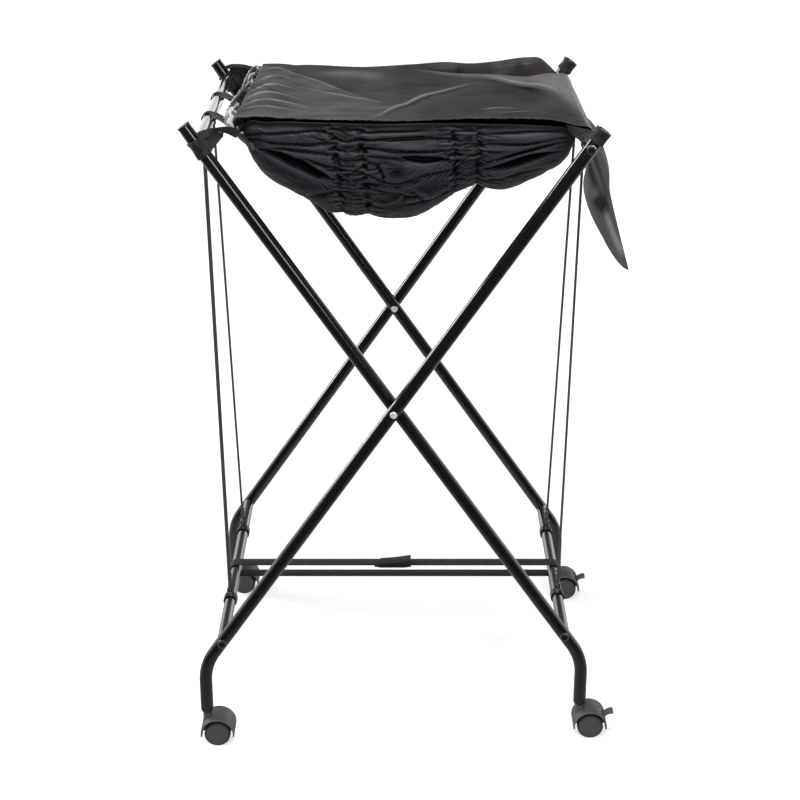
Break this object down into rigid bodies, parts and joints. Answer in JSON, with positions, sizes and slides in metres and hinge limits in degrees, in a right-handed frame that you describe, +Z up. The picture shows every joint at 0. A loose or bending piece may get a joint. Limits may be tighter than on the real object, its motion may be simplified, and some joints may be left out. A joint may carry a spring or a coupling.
{
  "type": "laundry sorter on wheels",
  "caption": "Folding laundry sorter: crossed steel tube frame on twin-wheel casters with a hanging divided bag, loose cloth lid, tie strap and elastic cords.",
  "frame": {"origin": "on the floor, at the middle of the sorter's footprint", "axes": "+X to the right as seen from the front (towards the brake levers and the lid's hanging flap), +Y to the back, +Z up; the pivot line runs along Y"},
  "size_m": [0.5898, 0.4946, 0.8962],
  "materials": {
    "powder_coat": "gloss black powder coat",
    "zinc_plate": "bright zinc plate",
    "black_screw": "black oxide",
    "pivot_steel": "bright zinc plate",
    "cap_plastic": "moulded, satin",
    "webbing": "woven polypropylene webbing",
    "caster_plastic": "moulded, satin",
    "wheel_plastic": "moulded, matt dark grey",
    "clip_plastic": "moulded, satin",
    "axle_steel": "drawn steel pin",
    "elastic_cord": "braided elastic",
    "bag_nylon": "thin glossy nylon, gathered",
    "lid_satin": "satin coated polyester"
  },
  "bodies": {
    "pivots": {"pivot_screw_front": "pivot_steel", "pivot_screw_back": "pivot_steel", "pivot_nut_front": "pivot_steel", "pivot_nut_back": "pivot_steel"},
    "outer_frame": {"leg_outer_front": "powder_coat", "leg_outer_back": "powder_coat", "crossbar_top_right": "zinc_plate", "crossbar_bottom_left": "zinc_plate", "screw_top_right_front": "black_screw", "screw_bottom_left_front": "black_screw", "sleeve_top_right_front": "webbing", "stem_front_left": "axle_steel", "screw_top_right_back": "black_screw", "screw_bottom_left_back": "black_screw", "sleeve_top_right_back": "webbing", "stem_back_left": "axle_steel"},
    "inner_frame": {"leg_inner_front": "powder_coat", "leg_inner_back": "powder_coat", "crossbar_top_left": "zinc_plate", "crossbar_bottom_right": "zinc_plate", "screw_top_left_front": "black_screw", "screw_bottom_right_front": "black_screw", "sleeve_top_left_front": "webbing", "end_cap_top_left_front": "cap_plastic", "stem_front_right": "axle_steel", "screw_top_left_back": "black_screw", "screw_bottom_right_back": "black_screw", "sleeve_top_left_back": "webbing", "end_cap_top_left_back": "cap_plastic", "stem_back_right": "axle_steel"},
    "bag": {"bag": "bag_nylon"},
    "lid": {"lid": "lid_satin"},
    "strap": {"strap": "webbing"},
    "left_clips": {"clip_left_front": "clip_plastic", "clip_left_back": "clip_plastic"},
    "right_clips": {"clip_right_front": "clip_plastic", "clip_right_back": "clip_plastic"},
    "left_cords": {"cord_left_front": "elastic_cord", "cord_left_back": "elastic_cord"},
    "right_cords": {"cord_right_front": "elastic_cord", "cord_right_back": "elastic_cord"},
    "caster_front_left": {"hood_front_left": "caster_plastic", "axle_front_left": "axle_steel"},
    "wheel_front_left_outer": {"wheel_front_left_outer": "wheel_plastic"},
    "wheel_front_left_inner": {"wheel_front_left_inner": "wheel_plastic"},
    "caster_front_right": {"hood_front_right": "caster_plastic", "axle_front_right": "axle_steel"},
    "wheel_front_right_outer": {"wheel_front_right_outer": "wheel_plastic"},
    "wheel_front_right_inner": {"wheel_front_right_inner": "wheel_plastic"},
    "brake_front_right": {"brake_lever_front_right": "caster_plastic"},
    "caster_back_left": {"hood_back_left": "caster_plastic", "axle_back_left": "axle_steel"},
    "wheel_back_left_outer": {"wheel_back_left_outer": "wheel_plastic"},
    "wheel_back_left_inner": {"wheel_back_left_inner": "wheel_plastic"},
    "caster_back_right": {"hood_back_right": "caster_plastic", "axle_back_right": "axle_steel"},
    "wheel_back_right_outer": {"wheel_back_right_outer": "wheel_plastic"},
    "wheel_back_right_inner": {"wheel_back_right_inner": "wheel_plastic"},
    "brake_back_right": {"brake_lever_back_right": "caster_plastic"}
  },
  "joints": [
    {"name": "frame_fold", "type": "hinge", "parent": "pivots", "child": "outer_frame", "pos_m": [-0.01898, 0, 0.5074], "axis": [0, -1, 0], "range_deg": [0, 24], "deforming": ["bag", "lid", "strap", "cord_left_front", "cord_left_back", "cord_right_front", "cord_right_back"]},
    {"name": "inner_fold", "type": "hinge", "parent": "pivots", "child": "inner_frame", "pos_m": [-0.01898, 0, 0.5074], "axis": [0, 1, 0], "range_deg": [0, 24]},
    {"name": "bag_hang", "type": "hinge", "parent": "inner_frame", "child": "bag", "pos_m": [-0.26768, 0, 0.86657], "axis": [0, -1, 0], "range_deg": [0, 24]},
    {"name": "strap_level", "type": "hinge", "parent": "outer_frame", "child": "strap", "pos_m": [-0.25978, 0, 0.15964], "axis": [0, 1, 0], "range_deg": [0, 24]},
    {"name": "left_clips_turn", "type": "hinge", "parent": "outer_frame", "child": "left_clips", "pos_m": [-0.25978, 0, 0.15964], "axis": [0, 1, 0], "range_deg": [0, 24]},
    {"name": "right_clips_turn", "type": "hinge", "parent": "inner_frame", "child": "right_clips", "pos_m": [0.22182, 0, 0.15964], "axis": [0, -1, 0], "range_deg": [0, 24]},
    {"name": "left_cords_hang", "type": "hinge", "parent": "inner_frame", "child": "left_cords", "pos_m": [-0.26768, 0, 0.86657], "axis": [0, -1, 0], "range_deg": [0, 24]},
    {"name": "right_cords_hang", "type": "hinge", "parent": "outer_frame", "child": "right_cords", "pos_m": [0.22972, 0, 0.86657], "axis": [0, 1, 0], "range_deg": [0, 24]},
    {"name": "lid_open", "type": "hinge", "parent": "bag", "child": "lid", "pos_m": [-0.25498, 0, 0.87667], "axis": [0, -1, 0], "range_deg": [0, 110]},
    {"name": "swivel_front_left", "type": "hinge", "parent": "outer_frame", "child": "caster_front_left", "pos_m": [-0.28588, -0.2273, 0.0385], "axis": [0, 0, 1], "continuous": true},
    {"name": "roll_front_left_outer", "type": "hinge", "parent": "caster_front_left", "child": "wheel_front_left_outer", "pos_m": [-0.27088, -0.2273, 0.0185], "axis": [0, 1, 0], "continuous": true},
    {"name": "roll_front_left_inner", "type": "hinge", "parent": "caster_front_left", "child": "wheel_front_left_inner", "pos_m": [-0.27088, -0.2273, 0.0185], "axis": [0, 1, 0], "continuous": true},
    {"name": "swivel_front_right", "type": "hinge", "parent": "inner_frame", "child": "caster_front_right", "pos_m": [0.24791, -0.2075, 0.0385], "axis": [0, 0, 1], "continuous": true},
    {"name": "roll_front_right_outer", "type": "hinge", "parent": "caster_front_right", "child": "wheel_front_right_outer", "pos_m": [0.26292, -0.2075, 0.0185], "axis": [0, 1, 0], "continuous": true},
    {"name": "roll_front_right_inner", "type": "hinge", "parent": "caster_front_right", "child": "wheel_front_right_inner", "pos_m": [0.26292, -0.2075, 0.0185], "axis": [0, 1, 0], "continuous": true},
    {"name": "brake_front_right", "type": "hinge", "parent": "caster_front_right", "child": "brake_front_right", "pos_m": [0.28228, -0.2075, 0.02712], "axis": [0, 1, 0], "range_deg": [0, 14]},
    {"name": "swivel_back_left", "type": "hinge", "parent": "outer_frame", "child": "caster_back_left", "pos_m": [-0.28588, 0.2273, 0.0385], "axis": [0, 0, 1], "continuous": true},
    {"name": "roll_back_left_outer", "type": "hinge", "parent": "caster_back_left", "child": "wheel_back_left_outer", "pos_m": [-0.27088, 0.2273, 0.0185], "axis": [0, 1, 0], "continuous": true},
    {"name": "roll_back_left_inner", "type": "hinge", "parent": "caster_back_left", "child": "wheel_back_left_inner", "pos_m": [-0.27088, 0.2273, 0.0185], "axis": [0, 1, 0], "continuous": true},
    {"name": "swivel_back_right", "type": "hinge", "parent": "inner_frame", "child": "caster_back_right", "pos_m": [0.24791, 0.2075, 0.0385], "axis": [0, 0, 1], "continuous": true},
    {"name": "roll_back_right_outer", "type": "hinge", "parent": "caster_back_right", "child": "wheel_back_right_outer", "pos_m": [0.26292, 0.2075, 0.0185], "axis": [0, 1, 0], "continuous": true},
    {"name": "roll_back_right_inner", "type": "hinge", "parent": "caster_back_right", "child": "wheel_back_right_inner", "pos_m": [0.26292, 0.2075, 0.0185], "axis": [0, 1, 0], "continuous": true},
    {"name": "brake_back_right", "type": "hinge", "parent": "caster_back_right", "child": "brake_back_right", "pos_m": [0.28228, 0.2075, 0.02712], "axis": [0, 1, 0], "range_deg": [0, 14]}
  ],
  "couplings": [
    {"joint": "inner_fold", "follows": "frame_fold", "ratio": 1},
    {"joint": "bag_hang", "follows": "frame_fold", "ratio": 1},
    {"joint": "strap_level", "follows": "frame_fold", "ratio": 1},
    {"joint": "left_clips_turn", "follows": "frame_fold", "ratio": 1},
    {"joint": "right_clips_turn", "follows": "frame_fold", "ratio": 1},
    {"joint": "left_cords_hang", "follows": "frame_fold", "ratio": 1},
    {"joint": "right_cords_hang", "follows": "frame_fold", "ratio": 1}
  ]
}
